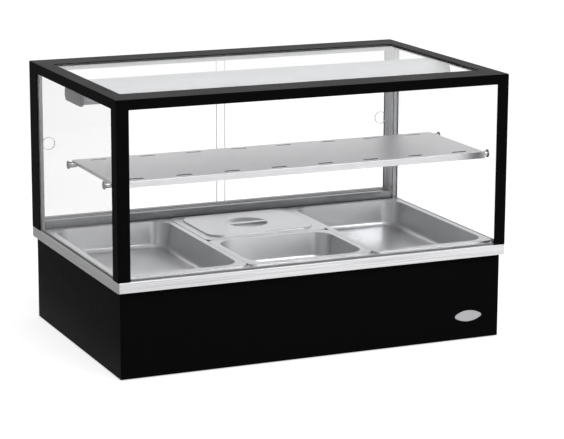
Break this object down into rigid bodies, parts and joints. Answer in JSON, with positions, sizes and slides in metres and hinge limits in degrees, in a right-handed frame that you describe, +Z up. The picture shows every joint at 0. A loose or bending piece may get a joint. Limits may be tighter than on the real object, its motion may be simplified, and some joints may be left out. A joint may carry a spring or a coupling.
{
  "type": "heated display case",
  "caption": "Countertop heated display case: black base with stainless deck and lift-out pans, glass upper with shelf, lamp hood and sliding rear doors.",
  "frame": {"origin": "on the floor under the middle of the case", "axes": "+X to the right seen from the front, +Y to the back where the doors are, +Z up"},
  "size_m": [1, 0.64, 0.655],
  "materials": {
    "black_sheet": "fine black powder coat",
    "stainless": "brushed stainless sheet",
    "pan_steel": "satin pressed stainless",
    "zinc_sheet": "galvanised sheet",
    "clear_glass": "clear toughened glass",
    "alloy_rail": "anodised aluminium",
    "hood_enamel": "light grey paint",
    "grey_plastic": "moulded grey plastic",
    "black_plastic": "moulded black plastic",
    "seal_rubber": "extruded seal",
    "foot_rubber": "moulded rubber",
    "polished_steel": "polished stainless",
    "insulation": "mineral wool board",
    "quartz": "quartz tube",
    "ceramic": "white steatite",
    "lens_amber": "clear amber plastic",
    "rocker_green": "translucent green plastic",
    "rocker_red": "translucent red plastic",
    "wire_sleeve": "silicone sleeve",
    "fixing_steel": "bright zinc plate"
  },
  "bodies": {
    "cabinet": {"base_shell": "black_sheet", "back_panel": "black_sheet", "bottom_plate": "zinc_sheet", "rubber_feet": "foot_rubber", "deck": "stainless", "heated_well": "stainless", "divider_bar_left": "stainless", "divider_bar_right": "stainless", "cross_bar": "stainless", "heating_elements": "fixing_steel", "element_clamps": "zinc_sheet", "sensor_bulb": "fixing_steel", "insulation_tray": "zinc_sheet", "insulation_boards": "insulation", "top_frame": "black_sheet", "front_post_left": "black_sheet", "front_post_right": "black_sheet", "rear_post_left": "black_sheet", "rear_post_right": "black_sheet", "door_jambs": "stainless", "top_glass": "clear_glass", "top_glass_seal": "seal_rubber", "front_glass": "clear_glass", "side_glass_left": "clear_glass", "side_glass_right": "clear_glass", "glass_seals": "seal_rubber", "glazing_beads": "black_sheet", "door_track_bottom": "alloy_rail", "door_track_top": "alloy_rail", "shelf_studs": "polished_steel", "stud_caps": "polished_steel", "lamp_hood": "hood_enamel", "lamp_reflector": "polished_steel", "hood_end_caps": "grey_plastic", "lamp_tube": "quartz", "lamp_holders": "ceramic", "hood_brackets": "stainless", "thermostat_body": "black_plastic", "indicator_lamp": "lens_amber", "switch_housings": "black_plastic", "cable_gland": "black_plastic", "terminal_block": "ceramic", "wiring": "wire_sleeve", "oval_plate": "polished_steel", "pan_head_screws": "fixing_steel", "post_screws": "fixing_steel"},
    "door_left": {"door_glass_left": "clear_glass", "door_glides_left": "black_plastic"},
    "door_right": {"door_glass_right": "clear_glass", "door_glides_right": "black_plastic"},
    "shelf": {"shelf": "stainless"},
    "pan_left": {"pan_left": "pan_steel"},
    "pan_right": {"pan_right": "pan_steel"},
    "half_pan_front": {"half_pan_front": "pan_steel"},
    "half_pan_rear": {"half_pan_rear": "pan_steel"},
    "half_pan_lid": {"half_pan_lid": "pan_steel"},
    "thermostat_knob": {"thermostat_knob": "black_plastic", "thermostat_spindle": "fixing_steel"},
    "power_rocker": {"power_rocker": "rocker_green"},
    "lamp_rocker": {"lamp_rocker": "rocker_red"}
  },
  "joints": [
    {"name": "door_left_slide", "type": "slide", "parent": "cabinet", "child": "door_left", "axis": [1, 0, 0], "range_m": [0, 0.47]},
    {"name": "door_right_slide", "type": "slide", "parent": "cabinet", "child": "door_right", "axis": [-1, 0, 0], "range_m": [0, 0.47]},
    {"name": "shelf_lift", "type": "slide", "parent": "cabinet", "child": "shelf", "axis": [0, 0, 1], "range_m": [0, 0.05]},
    {"name": "pan_left_lift", "type": "slide", "parent": "cabinet", "child": "pan_left", "axis": [0, 0, 1], "range_m": [0, 0.08]},
    {"name": "pan_right_lift", "type": "slide", "parent": "cabinet", "child": "pan_right", "axis": [0, 0, 1], "range_m": [0, 0.08]},
    {"name": "half_pan_front_lift", "type": "slide", "parent": "cabinet", "child": "half_pan_front", "axis": [0, 0, 1], "range_m": [0, 0.08]},
    {"name": "half_pan_rear_lift", "type": "slide", "parent": "cabinet", "child": "half_pan_rear", "axis": [0, 0, 1], "range_m": [0, 0.08]},
    {"name": "lid_lift", "type": "slide", "parent": "half_pan_rear", "child": "half_pan_lid", "axis": [0, 0, 1], "range_m": [0, 0.08]},
    {"name": "thermostat_turn", "type": "hinge", "parent": "cabinet", "child": "thermostat_knob", "pos_m": [-0.39, 0.305, 0.072], "axis": [0, -1, 0], "range_deg": [0, 270]},
    {"name": "power_switch_rock", "type": "hinge", "parent": "cabinet", "child": "power_rocker", "pos_m": [-0.31, 0.305, 0.072], "axis": [1, 0, 0], "range_deg": [-14, 0]},
    {"name": "lamp_switch_rock", "type": "hinge", "parent": "cabinet", "child": "lamp_rocker", "pos_m": [-0.262, 0.305, 0.072], "axis": [1, 0, 0], "range_deg": [-14, 0]}
  ]
}
